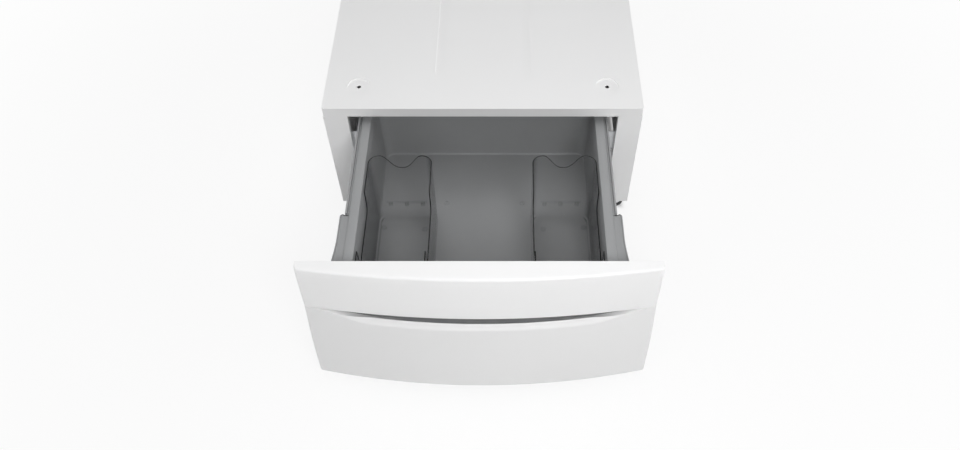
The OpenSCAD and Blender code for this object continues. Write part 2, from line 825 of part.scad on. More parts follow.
// Section of the mouth's way in: under the lip, behind the ledge's upstanding edge, and on
// through the shell's inner wall
function mouth_way(x) =
    let (
        back = lip_line(x) - mouth_reach,
        under = lip_line(x) - lip_wall,
        edge = crest_y(x) - ledge_wall,
        high = lip_z + mouth_rise,
        top = crest_z(x) + crest_clear,
        low = crest_z(x) - ledge_hollow * ledge(x)
    )
    [[back, low], [back, high], [under, high], [under, top], [edge, top], [edge, low]];

module front_shell() {
    mouth_end = 284;
    steps = 24;
    color(white_plastic) placed() difference() {
        loft(front_sections(half_w, side_r, 28, false));
        side_cuts(0);
        difference() {
            loft(front_sections(half_w - front_wall, side_r - front_wall, 28, true));
            side_cuts(front_wall);
        }
        loft([for (k = [0 : steps]) let (x = -mouth_end + 2 * mouth_end * k / steps)
            [for (p = mouth_way(x)) [x, back_y - p[0], p[1]]]]);
    }
}

pocket_end = 296;
pocket_wall = 2.5;
pocket_front = 9.5;
pocket_depth = 30;
pocket_low = 196;
pocket_high = 250;

// Moulded channel behind the mouth of the pull, closed at both ends
module handle_pocket() {
    w = pocket_wall;
    color(grey_plastic) placed() difference() {
        loft(lip_sweep(pocket_end, 24, [[-pocket_depth, pocket_high], [-pocket_front, pocket_high],
            [-pocket_front, pocket_low], [-pocket_depth, pocket_low]]));
        loft(lip_sweep(pocket_end - w, 24, [[-pocket_depth + w, pocket_high - w],
            [-pocket_front + 1, pocket_high - w], [-pocket_front + 1, pocket_low + w],
            [-pocket_depth + w, pocket_low + w]]));
    }
}

liner_y = back_y - 2.5;

// Inner plate of the front, with ribs towards the shell and screw bosses
module front_liner() {
    inset = front_wall + 0.5;
    low = front_bot + inset;
    high = front_top - inset;
    rib = 14;
    edge = [for (p = side_edge(inset)) [p[0], max(low, p[1])]];
    color(grey_plastic) placed() difference() {
        union() {
            for (s = [0, 1]) mirror([s, 0, 0]) along_y(liner_y, back_y)
                polygon(concat([[-eps, low]], edge, [[half_w - inset, high], [-eps, high]]));
            for (x = [-280 : 140 : 280]) block([x - 1, liner_y - rib, low + 6], [x + 1, liner_y + eps, 190]);
            for (z = [70, 150]) block([-300, liner_y - rib, z - 1], [300, liner_y + eps, z + 1]);
            for (p = boss_spots) translate([p[0], 0, p[1]]) along_y(liner_y - rib, liner_y + eps)
                circle(d = 11);
        }
        for (p = boss_spots) translate([p[0], 0, p[1]]) along_y(liner_y - rib - 1, back_y + 1)
            circle(d = boss_hole_d);
    }
}

// Screws from inside the tub through its front wall into the liner's bosses
module front_screws() {
    color(zinc) placed() for (p = boss_spots) translate([p[0], tub_front, p[1]]) {
        along_y(-18, eps) circle(d = boss_screw_d);
        pan_head(8.5, 1.8);
    }
}

bumper_spots = [for (s = [-1, 1], z = [90, 300]) [s * 317, z]];

// Soft stops between the closed front and the cabinet's flanges
module front_bumpers() {
    color([0.75, 0.75, 0.75]) placed() for (p = bumper_spots) translate([p[0], back_y, p[1]])
        rotate([-90, 0, 0]) cylinder(d1 = 14, d2 = 12, h = front_gap - 0.4);
}

// ---------------------------------------------------------------- dividers

divider_out = tub_half - tub_draft - 0.6;
divider_back = -89;
divider_front = tub_front + 3;
divider_low = tub_floor_z + 0.3;
divider_r = 22;
divider_rings = [[134, -131], [226, -126]];

// Clear bin: round-cornered walls, high at both ends, with a scooped back wall
module divider(side) {
    t = divider_wall;
    w = divider_out - divider_in;
    l = divider_back - divider_front;
    xc = (divider_in + divider_out) / 2;
    yc = (divider_back + divider_front) / 2;
    post_front = 44;
    post_back = 100;
    dip_y0 = divider_front + post_front;
    dip_y1 = divider_back - post_back;
    dip_z = divider_top - divider_dip;
    dip_r = 14;
    foot_in = 5;
    foot_h = 6;
    step_z = divider_low + foot_h;
    rib_z = 148;
    rib_reach = 9;
    color(smoke) handed(side) difference() {
        union() {
            translate([xc, yc, 0]) upright(step_z, divider_top) difference() {
                round_rect(w, l, divider_r);
                round_rect(w - 2 * t, l - 2 * t, divider_r - t);
            }
            // the foot steps in to clear the tub's rounded floor edge
            translate([xc, yc, 0]) upright(divider_low, step_z + t) difference() {
                round_rect(w - 2 * foot_in, l - 2 * foot_in, divider_r - foot_in);
                round_rect(w - 2 * (foot_in + t), l - 2 * (foot_in + t), divider_r - foot_in - t);
            }
            translate([xc, yc, 0]) upright(step_z, step_z + t) difference() {
                round_rect(w - t, l - t, divider_r - t / 2);
                round_rect(w - 2 * (foot_in + t), l - 2 * (foot_in + t), divider_r - foot_in - t);
            }
            translate([xc, yc, 0]) upright(divider_low, divider_low + t)
                round_rect(w - 2 * foot_in - t, l - 2 * foot_in - t, divider_r - foot_in - t / 2);
            // rib across the back wall with three lugs
            block([divider_in + divider_r, divider_back - rib_reach, rib_z - 2],
                [divider_out - divider_r, divider_back - t / 2, rib_z]);
            for (k = [-1 : 1]) translate([xc + k * 36, divider_back - rib_reach, 0])
                upright(rib_z - 8, rib_z) circle(d = 9);
            for (p = divider_rings) translate([p[0], p[1], divider_low + t]) floor_ring();
        }
        // dip of both side walls
        along_x(divider_in - 1, divider_out + 1) {
            translate([dip_y0, dip_z + dip_r]) square([dip_y1 - dip_y0, divider_dip]);
            translate([dip_y0 + dip_r, dip_z]) square([dip_y1 - dip_y0 - 2 * dip_r, dip_r + 1]);
            for (y = [dip_y0 + dip_r, dip_y1 - dip_r]) translate([y, dip_z + dip_r]) circle(dip_r);
        }
        // scoop of the back wall
        translate([xc, 0, 0]) along_y(divider_back - divider_r - 1, divider_back + 1) scoop(w);
    }
}

// Smooth dip between two flat shoulders, as the back wall's cut-out
module scoop(w) {
    half = w / 2 - 24;
    steps = 24;
    polygon(concat(
        [for (k = [-steps : steps]) let (x = half * k / steps)
            [x, divider_top - scoop_dip * (0.5 + 0.5 * cos(180 * pow(abs(x / half), 1.25)))]],
        [[half, divider_top + 5], [-half, divider_top + 5]]));
}

// ---------------------------------------------------------------- pieces

side_panel("left");  // side_panel_left
side_panel("right");  // side_panel_right
back_panel();
top_deck();
header_rail();
rear_rail();
deck_channel("left");  // deck_channel_left
deck_channel("right");  // deck_channel_right
base_rail_front();
base_rail_rear();
corner_bracket("left", 1);  // corner_bracket_front_left
corner_bracket("right", 1);  // corner_bracket_front_right
corner_bracket("left", -1);  // corner_bracket_rear_left
corner_bracket("right", -1);  // corner_bracket_rear_right
foot_lock_nuts();
back_screws();
slide_rail("left");  // slide_rail_left
slide_rail("right");  // slide_rail_right
slide_rivets();
slide_cabinet_member("left");  // slide_cabinet_member_left
slide_cabinet_member("right");  // slide_cabinet_member_right
foot_stem("left", 1);  // foot_stem_front_left
foot_stem("right", 1);  // foot_stem_front_right
foot_stem("left", -1);  // foot_stem_rear_left
foot_stem("right", -1);  // foot_stem_rear_right
foot_shoe("left", 1);  // foot_shoe_front_left
foot_shoe("right", 1);  // foot_shoe_front_right
foot_shoe("left", -1);  // foot_shoe_rear_left
foot_shoe("right", -1);  // foot_shoe_rear_right
slide_middle_member("left");  // slide_middle_member_left
slide_middle_member("right");  // slide_middle_member_right
outer_cage("left");  // outer_cage_left
outer_cage("right");  // outer_cage_right
inner_cage("left");  // inner_cage_left
inner_cage("right");  // inner_cage_right
outer_balls("left");  // outer_balls_left
outer_balls("right");  // outer_balls_right
inner_balls("left");  // inner_balls_left
inner_balls("right");  // inner_balls_right
drawer_tub();
slide_drawer_member("left");  // slide_drawer_member_left
slide_drawer_member("right");  // slide_drawer_member_right
slide_screws();
front_shell();
front_liner();
handle_pocket();
side_cheek("left");  // side_cheek_left
side_cheek("right");  // side_cheek_right
front_screws();
front_bumpers();
divider("left");  // divider_left
divider("right");  // divider_right
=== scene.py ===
import json
import math

import bmesh
import bpy
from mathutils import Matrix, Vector


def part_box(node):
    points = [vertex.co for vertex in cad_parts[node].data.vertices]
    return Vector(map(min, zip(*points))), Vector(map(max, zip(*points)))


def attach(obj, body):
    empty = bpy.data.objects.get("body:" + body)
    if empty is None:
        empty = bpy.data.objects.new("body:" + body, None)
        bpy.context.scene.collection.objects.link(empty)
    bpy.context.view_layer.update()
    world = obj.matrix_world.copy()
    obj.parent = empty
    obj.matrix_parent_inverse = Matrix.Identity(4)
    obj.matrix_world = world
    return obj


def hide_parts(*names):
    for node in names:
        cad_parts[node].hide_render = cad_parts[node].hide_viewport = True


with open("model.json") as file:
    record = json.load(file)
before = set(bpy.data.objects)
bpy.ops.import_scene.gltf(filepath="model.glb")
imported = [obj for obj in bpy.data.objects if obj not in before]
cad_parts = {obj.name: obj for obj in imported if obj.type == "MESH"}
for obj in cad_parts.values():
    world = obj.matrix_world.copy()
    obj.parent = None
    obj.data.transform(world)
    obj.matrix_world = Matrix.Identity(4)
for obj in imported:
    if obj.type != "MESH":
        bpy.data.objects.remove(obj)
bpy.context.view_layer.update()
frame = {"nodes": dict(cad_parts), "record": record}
nodes = frame["nodes"]
scene = bpy.context.scene
scene.view_settings.view_transform = "Standard"

MM = 0.001
# Place of the cabinet's front plane along Y; the CAD source draws from that plane
ORIGIN_Y = -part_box("side_panel_left")[0].y / MM

# ------------------------------------------------------------------ camera

# Place in millimetres from the cabinet's front plane, and degrees down from level
CAMERA_AT = (47, -1272, 1613)
CAMERA_PITCH = 52.8

cam_data = bpy.data.cameras.new("camera")
cam_data.sensor_width = 36
cam_data.lens = 31.43
cam_data.shift_x = -0.0257
cam_data.clip_start = 0.05
cam_data.clip_end = 60
cam = bpy.data.objects.new("camera", cam_data)
cam.location = (CAMERA_AT[0] * MM, (CAMERA_AT[1] - ORIGIN_Y) * MM, CAMERA_AT[2] * MM)
cam.rotation_euler = (math.radians(90 - CAMERA_PITCH), 0, 0)
scene.collection.objects.link(cam)
scene.camera = cam

# ------------------------------------------------------------------ materials


class Shader:
    """A Principled material with a few shorthands for its procedural detail."""

    def __init__(self, name):
        self.mat = bpy.data.materials.new(name)
        self.mat.use_nodes = True
        self.tree = self.mat.node_tree
        self.bsdf = self.tree.nodes["Principled BSDF"]
        self.coord = self.new("ShaderNodeTexCoord").outputs["Object"]

    def new(self, kind):
        return self.tree.nodes.new(kind)

    def link(self, a, b):
        self.tree.links.new(a, b)

    def put(self, **values):
        for key, value in values.items():
            self.bsdf.inputs[key.replace("_", " ")].default_value = value
        return self

    def stretched(self, scale):
        m = self.new("ShaderNodeMapping")
        m.inputs["Scale"].default_value = scale
        self.link(self.coord, m.inputs["Vector"])
        return m.outputs["Vector"]

    def noise(self, scale, detail=3.0, rough=0.5, vector=None):
        n = self.new("ShaderNodeTexNoise")
        n.inputs["Scale"].default_value = scale
        n.inputs["Detail"].default_value = detail
        n.inputs["Roughness"].default_value = rough
        self.link(vector or self.coord, n.inputs["Vector"])
        return n.outputs["Fac"]

    def cells(self, scale, output="Color"):
        v = self.new("ShaderNodeTexVoronoi")
        v.inputs["Scale"].default_value = scale
        self.link(self.coord, v.inputs["Vector"])
        return v.outputs[output]

    def span(self, value, low, high, lo_in=0.3, hi_in=0.7):
        r = self.new("ShaderNodeMapRange")
        r.inputs["From Min"].default_value = lo_in
        r.inputs["From Max"].default_value = hi_in
        r.inputs["To Min"].default_value = low
        r.inputs["To Max"].default_value = high
        self.link(value, r.inputs["Value"])
        return r.outputs["Result"]

    def color(self, value, a, b):
        m = self.new("ShaderNodeMix")
        m.data_type = "RGBA"
        m.inputs["A"].default_value = (*a, 1)
        m.inputs["B"].default_value = (*b, 1)
        self.link(value, m.inputs["Factor"])
        self.link(m.outputs["Result"], self.bsdf.inputs["Base Color"])
        return self

    def rough(self, value, low, high):
        self.link(self.span(value, low, high), self.bsdf.inputs["Roughness"])
        return self

    def bump(self, *layers):
        """Each layer is (height, strength, distance in metres)."""
        normal = None
        for height, strength, distance in layers:
            b = self.new("ShaderNodeBump")
            b.inputs["Strength"].default_value = strength
            b.inputs["Distance"].default_value = distance
            self.link(height, b.inputs["Height"])
            if normal:
                self.link(normal, b.inputs["Normal"])
            normal = b.outputs["Normal"]
        self.link(normal, self.bsdf.inputs["Normal"])
        return self


def paint():
    s = Shader("powder_coat")
    s.color(s.noise(5, 2), (0.845, 0.845, 0.847), (0.87, 0.87, 0.871))
    s.rough(s.noise(40, 3), 0.34, 0.42)
    return s.bump((s.noise(420, 2), 0.10, 0.0006), (s.noise(2600, 1), 0.05, 0.0002)).mat


def white_plastic(name="white_moulding", a=(0.85, 0.85, 0.852), b=(0.875, 0.875, 0.876)):
    s = Shader(name)
    s.color(s.noise(3.5, 2), a, b)
    s.rough(s.noise(26, 4), 0.29, 0.36)
    return s.put(Coat_Weight=0.12, Coat_Roughness=0.25).bump((s.noise(9, 1), 0.05, 0.002)).mat


def pull_hollow_painted_shade():
    """Painted shade in the hollow behind the ledge: grey in the middle of the pull, white at its
    ends.
    """
    s = Shader("pull_hollow_painted_shade")
    place = s.new("ShaderNodeSeparateXYZ")
    s.link(s.coord, place.inputs[0])
    across = s.new("ShaderNodeMath")
    across.operation = "ABSOLUTE"
    s.link(place.outputs["X"], across.inputs[0])
    # grey painted shade in the middle of the pull, fading to the lower white at its ends
    s.color(s.span(across.outputs[0], 0, 1, 0.14, 0.265), (0.31, 0.314, 0.318), (0.79, 0.79, 0.792))
    s.rough(s.noise(90, 3), 0.42, 0.52)
    return s.bump((s.noise(700, 2), 0.06, 0.0004)).mat


def grey_plastic():
    s = Shader("grey_moulding")
    s.color(s.noise(7, 3), (0.265, 0.27, 0.275), (0.315, 0.32, 0.325))
    s.rough(s.noise(90, 3), 0.42, 0.52)
    return s.bump((s.cells(1500, "Distance"), 0.10, 0.00025), (s.noise(700, 2), 0.06, 0.0004)).mat


def zinc():
    s = Shader("zinc_plate")
    s.color(s.cells(190), (0.50, 0.51, 0.525), (0.60, 0.61, 0.62))
    s.rough(s.noise(160, 4), 0.30, 0.45)
    streak = s.noise(1.0, 4, 0.6, s.stretched((900, 14, 900)))
    return s.put(Metallic=1.0).bump((streak, 0.12, 0.0003)).mat


def bright_steel():
    s = Shader("bright_steel")
    s.color(s.noise(50, 3), (0.66, 0.665, 0.67), (0.74, 0.745, 0.75))
    s.rough(s.noise(120, 3), 0.12, 0.2)
    return s.put(Metallic=1.0).bump((s.noise(800, 2), 0.05, 0.0002)).mat


def rubber(name="black_rubber", a=(0.018, 0.018, 0.018), b=(0.032, 0.032, 0.031)):
    s = Shader(name)
    s.color(s.noise(60, 4), a, b)
    s.rough(s.noise(150, 3), 0.6, 0.75)
    return s.bump((s.noise(1400, 2), 0.2, 0.0003)).mat


def clear_wall():
    """Smoked clear plastic: nearly clear face on, darker where one looks along a wall."""
    s = Shader("clear_smoked")
    s.color(s.noise(9, 2), (0.10, 0.104, 0.108), (0.14, 0.144, 0.148))
    s.rough(s.noise(70, 3), 0.05, 0.10)
    w = s.new("ShaderNodeLayerWeight")
    w.inputs["Blend"].default_value = 0.35
    s.link(s.span(w.outputs["Facing"], 0.05, 0.8, 0.3, 0.98), s.bsdf.inputs["Alpha"])
    return s.put(IOR=1.45, Coat_Weight=0.3, Coat_Roughness=0.05).bump(
        (s.noise(26, 2), 0.06, 0.001)).mat


def clear_edge():
    s = Shader("clear_edge")
    s.color(s.noise(30, 2), (0.006, 0.0065, 0.007), (0.012, 0.0125, 0.013))
    s.rough(s.noise(90, 2), 0.12, 0.2)
    return s.put(Alpha=0.97, IOR=1.25).bump((s.noise(200, 2), 0.05, 0.0003)).mat


PAINT = paint()
WHITE = white_plastic()
# A darker copy of the white moulding for the front below the pull: painted shade
LOWER_WHITE_PAINTED_SHADE = white_plastic("white_moulding_lower_painted_shade", (0.775, 0.775, 0.777), (0.80, 0.80, 0.801))
# painted shade for the pull's hollow
HOLLOW_SHADE_PAINT = pull_hollow_painted_shade()
GREY = grey_plastic()
ZINC = zinc()
STEEL = bright_steel()
RUBBER = rubber()
BUMPER = rubber("bumper_rubber", (0.42, 0.42, 0.41), (0.5, 0.5, 0.49))
CLEAR = clear_wall()
EDGE = clear_edge()

SLOTS = {"paint": PAINT, "zinc": ZINC, "bright": STEEL, "grey_plastic": GREY,
         "white_plastic": WHITE, "smoke": CLEAR, "black_rubber": RUBBER, "bumper_rubber": BUMPER}

# ------------------------------------------------------------------ CAD nodes

slot_of = {s["node"]: s["material_slot"] for s in frame["record"]["subparts"]}
for name, obj in nodes.items():
    for i in range(max(1, len(obj.material_slots))):
        if not obj.material_slots:
            obj.data.materials.append(SLOTS[slot_of[name]])
        obj.material_slots[i].material = SLOTS[slot_of[name]]

SHEET_EDGE, PLATE_EDGE, MOULDED_EDGE = 0.45, 0.4, 0.5


def soften(name, width):
    """Welds a node's split corners and rounds its edges, as folded and moulded edges are."""
    obj = nodes[name]
    weld = obj.modifiers.new("weld", "WELD")
    weld.merge_threshold = 0.00002
    bevel = obj.modifiers.new("bevel", "BEVEL")
    bevel.width = width * MM
    bevel.segments = 2
    bevel.limit_method = "ANGLE"
    bevel.angle_limit = math.radians(35)


for name in nodes:
    if slot_of[name] == "paint":
        soften(name, SHEET_EDGE)
    elif name.startswith(("deck_channel", "slide_rail", "corner_bracket")):
        soften(name, PLATE_EDGE)
    elif name in ("front_liner", "handle_pocket"):
        soften(name, MOULDED_EDGE)

# ------------------------------------------------------------------ helpers


def at(x, y, z):
    """A point given in millimetres from the cabinet's front plane."""
    return Vector((x * MM, (y - ORIGIN_Y) * MM, z * MM))


def ease(a, b, x):
    """Smooth step from 0 at a to 1 at b."""
    t = min(1, max(0, (x - a) / (b - a)))
    return t * t * (3 - 2 * t)


def arc(steps, start=0):
    """Angles of a quarter turn from start degrees, in equal steps, in radians."""
    return [math.radians(start + 90 * k / steps) for k in range(steps + 1)]


def finish_mesh(name, bm, materials, body, replaced, sharp):
    bmesh.ops.remove_doubles(bm, verts=bm.verts, dist=0.00001)
    bmesh.ops.recalc_face_normals(bm, faces=bm.faces)
    mesh = bpy.data.meshes.new(name)
    bm.to_mesh(mesh)
    bm.free()
    obj = bpy.data.objects.new(name, mesh)
    scene.collection.objects.link(obj)
    for m in materials:
        mesh.materials.append(m)
    mesh.shade_smooth()
    mesh.set_sharp_from_angle(angle=math.radians(sharp))
    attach(obj, body)
    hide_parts(*replaced)


def skin(bm, loops, closed=True, cap_first=True, cap_last=True, material=0):
    """Faces between neighbouring loops of points that have the same number of points.
    They are returned strip by strip, and the caps come last."""
    rows = [[bm.verts.new(p) for p in loop] for loop in loops]
    n = len(rows[0])
    made = []
    for a, b in zip(rows, rows[1:]):
        for i in range(n if closed else n - 1):
            j = (i + 1) % n
            made.append(bm.faces.new((a[i], a[j], b[j], b[i])))
    if cap_first:
        made.append(bm.faces.new(rows[0]))
    if cap_last:
        made.append(bm.faces.new(list(reversed(rows[-1]))))
    for f in made:
        f.material_index = material
    return made


def round_box(bm, lo, hi, r=0.4):
    """A box with small round edges, from its corners in millimetres."""
    a, b = at(*lo), at(*hi)
    made = bmesh.ops.create_cube(bm, size=1)["verts"]
    for v in made:
        v.co = Vector([(a[i] + b[i]) / 2 + v.co[i] * (b[i] - a[i]) for i in range(3)])
    # each edge once, in a fixed order
    edges = dict.fromkeys(e for v in made for e in v.link_edges)
    bmesh.ops.bevel(bm, geom=list(edges), offset=r * MM, segments=2, profile=0.5,
                    affect="EDGES", clamp_overlap=True)


def side_box(bm, s, x, y, z, r=0.4):
    """A round box on the left (s = -1) or right (s = 1), from its two places along each axis."""
    x0, x1 = sorted((s * x[0], s * x[1]))
    round_box(bm, (x0, y[0], z[0]), (x1, y[1], z[1]), r)


def ring(bm, x, y, z, r_out, r_in, h, steps=32):
    """A moulded ring standing on a floor, with its inside closed just above its foot."""
    edge, inside = 0.4, 0.6
    line = [(r_out + edge, 0), (r_out, edge), (r_out, h - edge), (r_out - edge, h),
            (r_in + edge, h), (r_in, h - edge), (r_in, inside)]
    loops = [[at(x + r * math.cos(t), y + r * math.sin(t), z + dz)
              for t in (2 * math.pi * k / steps for k in range(steps))] for r, dz in line]
    skin(bm, loops, cap_first=False)


CORNER_STEPS = 12


def plan_loop(half, y0, y1, r_front, r_back, z):
    """Round-cornered loop in plan, centred on x = 0, counter-clockwise from the front right."""
    points = []
    for cx, cy, r, start in ((half - r_front, y0 + r_front, r_front, -90),
                             (half - r_back, y1 - r_back, r_back, 0),
                             (-half + r_back, y1 - r_back, r_back, 90),
                             (-half + r_front, y0 + r_front, r_front, 180)):
        points += [at(cx + r * math.cos(t), cy + r * math.sin(t), z)
                   for t in arc(CORNER_STEPS, start)]
    return points


# ------------------------------------------------------------------ drawer front

# Sizes are in millimetres, and depths are forward of the front's back plane at BACK_Y
HALF_W, TRAVEL, CLOSED_GAP = 343, 383, 3
BACK_Y = -TRAVEL - CLOSED_GAP
FRONT_BOT, FRONT_TOP, LIP_Z = 30, 335, 221
# Turned-in edges at the top and bottom: their thickness, and the share of the depth they start at
SHELL_WALL, TURNED_IN = 3, 0.4
# Depth at the middle of the top edge, lip and lower face, and what each loses at the ends
TOP_BOW, LIP_BOW, LOW_BOW = (44.5, 26), (57.5, 30), (67.4, 40)
UPPER_BULGE = 5
# Slope of the lower face at the middle, and the share that it gains at the ends
FLARE, FLARE_GAIN = 0.188, 0.1
# The sides draw in by SIDE_TAPER from the height SIDE_TURN down to the bottom
SIDE_TAPER, SIDE_TURN, BEND_POWER = 4.5, 150, 1.5
SIDE_R, EDGE_R, LIP_R, FOOT_R = 6, 6, 2.5, 4
# The mouth under the lip and the ledge below it fade out between two places along x, each down
# to its least share. The way in is open as far as MOUTH_END.
MOUTH_H, MOUTH_DEPTH, UNDER_DROOP, MOUTH_END = 11, 9, 0.4, 284
MOUTH_FADE, MOUTH_LEAST = (230, 330), 0.08
LEDGE_H, LEDGE_LEAST_H, LEDGE_DEPTH, LEDGE_WALL, LEDGE_HOLLOW = 10, 1, 7, 2.6, 9
LEDGE_FADE, LEDGE_LEAST, WALL_LEAST = (207, 292), 0.04, 0.3
# Rounding of the ledge's upstanding edge, as (forward, down) from its back and front corners
EDGE_BACK = ((0, 0.9), (0.4, 0.25), (0.9, 0))
EDGE_FRONT = ((-0.6, 0), (0, 0.2), (0.7, 0.8))
LEDGE_SHARES = (0.15, 0.3, 0.45, 0.6, 0.75, 0.87, 0.95)
TOP_STEPS, EDGE_STEPS, UPPER_STEPS, LIP_STEPS, LOW_STEPS, FOOT_STEPS = 5, 12, 20, 8, 24, 6
ACROSS_STEPS, SIDE_STEPS = 150, 8
# Last point above the pull's way in, the material numbers below it (painted shade), and the
# hollow's faces
WAY_IN = 49
LOWER_SHADE_PART, HOLLOW_SHADE_PART, HOLLOW_FACES = 1, 2, 2


def bowed(depth, bow, x):
    return depth - bow * (x / HALF_W) ** 2


def low_line(x, z):
    return bowed(*LOW_BOW, x) + bowed(FLARE, -FLARE * FLARE_GAIN, x) * (LIP_Z - z)


def upper_line(x, z):
    t = (FRONT_TOP - z) / (FRONT_TOP - LIP_Z)
    top = bowed(*TOP_BOW, x)
    return top + (bowed(*LIP_BOW, x) - top) * t + UPPER_BULGE * t * (1 - t)


def front_profile(x, pull):
    """Outer line of the front at x as [forward, z], from the top back edge to the bottom one,
    drawn back by pull. The pull's way in lies between its points WAY_IN and WAY_IN + 1."""
    mouth = max(MOUTH_LEAST, 1 - ease(*MOUTH_FADE, abs(x)))
    ledge = max(LEDGE_LEAST, 1 - ease(*LEDGE_FADE, abs(x)))
    crest = LIP_Z - MOUTH_H * mouth
    low = crest - LEDGE_LEAST_H - LEDGE_H * ledge
    top = bowed(*TOP_BOW, x) - pull
    lip = bowed(*LIP_BOW, x) - pull
    back = TURNED_IN * top
    flat = top - EDGE_R
    points = [[back, FRONT_TOP - SHELL_WALL], [0, FRONT_TOP - SHELL_WALL], [0, FRONT_TOP]]
    points += [[flat * k / TOP_STEPS, FRONT_TOP] for k in range(1, TOP_STEPS)]
    points += [[flat + EDGE_R * math.sin(a), FRONT_TOP - EDGE_R * (1 - math.cos(a))]
               for a in arc(EDGE_STEPS)]
    z0, z1 = FRONT_TOP - EDGE_R, LIP_Z + LIP_R
    points += [[upper_line(x, z) - pull, z]
               for z in (z0 + (z1 - z0) * k / UPPER_STEPS for k in range(1, UPPER_STEPS))]
    # rolled lip and its underside
    points += [[lip - LIP_R * mouth * (1 - math.cos(a)), LIP_Z + LIP_R * (1 - math.sin(a))]
               for a in arc(LIP_STEPS)]
    way = lip - MOUTH_DEPTH * mouth
    points += [[lip - LIP_R * mouth - 1, LIP_Z - UNDER_DROOP / 2 * mouth],
               [way, LIP_Z - UNDER_DROOP * mouth]]
    assert len(points) == WAY_IN + 1
    # hollow behind the ledge's upstanding edge, then that edge
    out = low_line(x, crest) - pull - LEDGE_DEPTH * ledge
    wall = out - LEDGE_WALL * max(ledge, WALL_LEAST)
    hollow = crest - LEDGE_HOLLOW * ledge
    points += [[way, hollow], [wall, hollow]]
    points += [[wall + dy * ledge, crest - dz * ledge] for dy, dz in EDGE_BACK]
    points += [[out + dy * ledge, crest - dz * ledge] for dy, dz in EDGE_FRONT]
    # bright ledge: a slope that eases into the lower face
    start, z_start = points[-1]
    foot = low_line(x, low) - pull
    points += [[start + (foot - start) * (0.5 * t + 0.5 * ease(0, 1, t)),
                z_start - (z_start - low) * t] for t in LEDGE_SHARES]
    points.append([foot, low])
    # lower face and its rounded foot
    zb = FRONT_BOT + FOOT_R
    points += [[low_line(x, z) - pull, z]
               for z in (low - (low - zb) * k / LOW_STEPS for k in range(1, LOW_STEPS + 1))]
    points += [[low_line(x, zb) - pull - FOOT_R * (1 - math.cos(a)), zb - FOOT_R * math.sin(a)]
               for a in arc(FOOT_STEPS)[1:]]
    edge = points[-1][0]
    points += [[edge * k / TOP_STEPS, FRONT_BOT] for k in range(TOP_STEPS - 1, 0, -1)]
    points += [[0, FRONT_BOT], [0, FRONT_BOT + SHELL_WALL], [back, FRONT_BOT + SHELL_WALL]]
    return points


def front_point(x, p):
    """A point of the profile p at x, with the sides drawn in towards the bottom."""
    draw = SIDE_TAPER * (max(0, SIDE_TURN - p[1]) / (SIDE_TURN - FRONT_BOT)) ** BEND_POWER
    return at(x * (1 - draw / HALF_W), BACK_Y - p[0], p[1])


def front_stations():
    """Places across the front as (x, pull), with its rounded side edges at both ends."""
    flat = HALF_W - SIDE_R
    edge = [(flat + SIDE_R * math.sin(a), SIDE_R * (1 - math.cos(a))) for a in arc(SIDE_STEPS)[1:]]
    inner = [(-flat + 2 * flat * k / ACROSS_STEPS, 0) for k in range(ACROSS_STEPS + 1)]
    return [(-x, p) for x, p in reversed(edge)] + inner + edge


bm = bmesh.new()
stations = front_stations()
loops = [[front_point(x, p) for p in front_profile(x, pull)] for x, pull in stations]
faces = skin(bm, loops, closed=False)
per_strip = len(loops[0]) - 1
way_in = []
for k in range(len(stations) - 1):
    strip = faces[k * per_strip:(k + 1) * per_strip]
    # faces below the way in take the darker white of painted shade
    for f in strip[WAY_IN + 1:]:
        f.material_index = LOWER_SHADE_PART
    if max(abs(stations[k][0]), abs(stations[k + 1][0])) < MOUTH_END:
        way_in.append(strip[WAY_IN])
        # the hollow's faces get the grey painted shade
        for f in strip[WAY_IN + 1:WAY_IN + 1 + HOLLOW_FACES]:
            f.material_index = HOLLOW_SHADE_PART
bmesh.ops.delete(bm, geom=way_in, context="FACES")
finish_mesh("front_moulding", bm, [WHITE, LOWER_WHITE_PAINTED_SHADE, HOLLOW_SHADE_PAINT], "drawer", ["front_shell"],
            sharp=32)

# ------------------------------------------------------------------ tub

TUB_HALF, TUB_LENGTH, TUB_WALL, FRONT_WALL = 243, 488, 2.8, 2.5
RIM_Z, FLOOR_Z, WALL_RUN = 300, 90, 203
DRAFT, CORNER_R, FLOOR_R = 3, 20, 5
TUB_FRONT = BACK_Y + TUB_WALL
TUB_BACK = TUB_FRONT + TUB_LENGTH
RIM_FRONT, RIM_FRONT_R = BACK_Y + 0.25, 0.5
BAND_W, BAND_DROP, GROOVE_W = 19, 9, 9
BAND_X = TUB_HALF + BAND_W
LIP_X = BAND_X + GROOVE_W
CHEEK_Y0 = -246
FLOOR_STEPS, WALL_SHARES = 4, (0.2, 0.4, 0.6, 0.8)
# A rounded edge, as the distances of its points from the corner along its two faces
ROUND = ((0, 1.2), (0.35, 0.35), (1.2, 0))
# Section of the groove beyond the flat band, then of the outer lip with its turned-down skirt
GROOVE = [(BAND_X + x, RIM_Z - z) for x, z in ((-0.2, 9), (-0.2, 5.4), (0.2, 5.9), (0.8, 6.2))]
GROOVE += [(LIP_X - x, RIM_Z - z) for x, z in (
    (4.8, 6.2), (4.2, 5.9), (4, 5.4), (4, 1.2), (3.65, 0.35), (2.8, 0), (1.2, 0), (0.35, 0.35),
    (0, 1.2), (0, 21.2), (0.8, 22), (3.2, 22), (4, 21.2), (4, 9))]
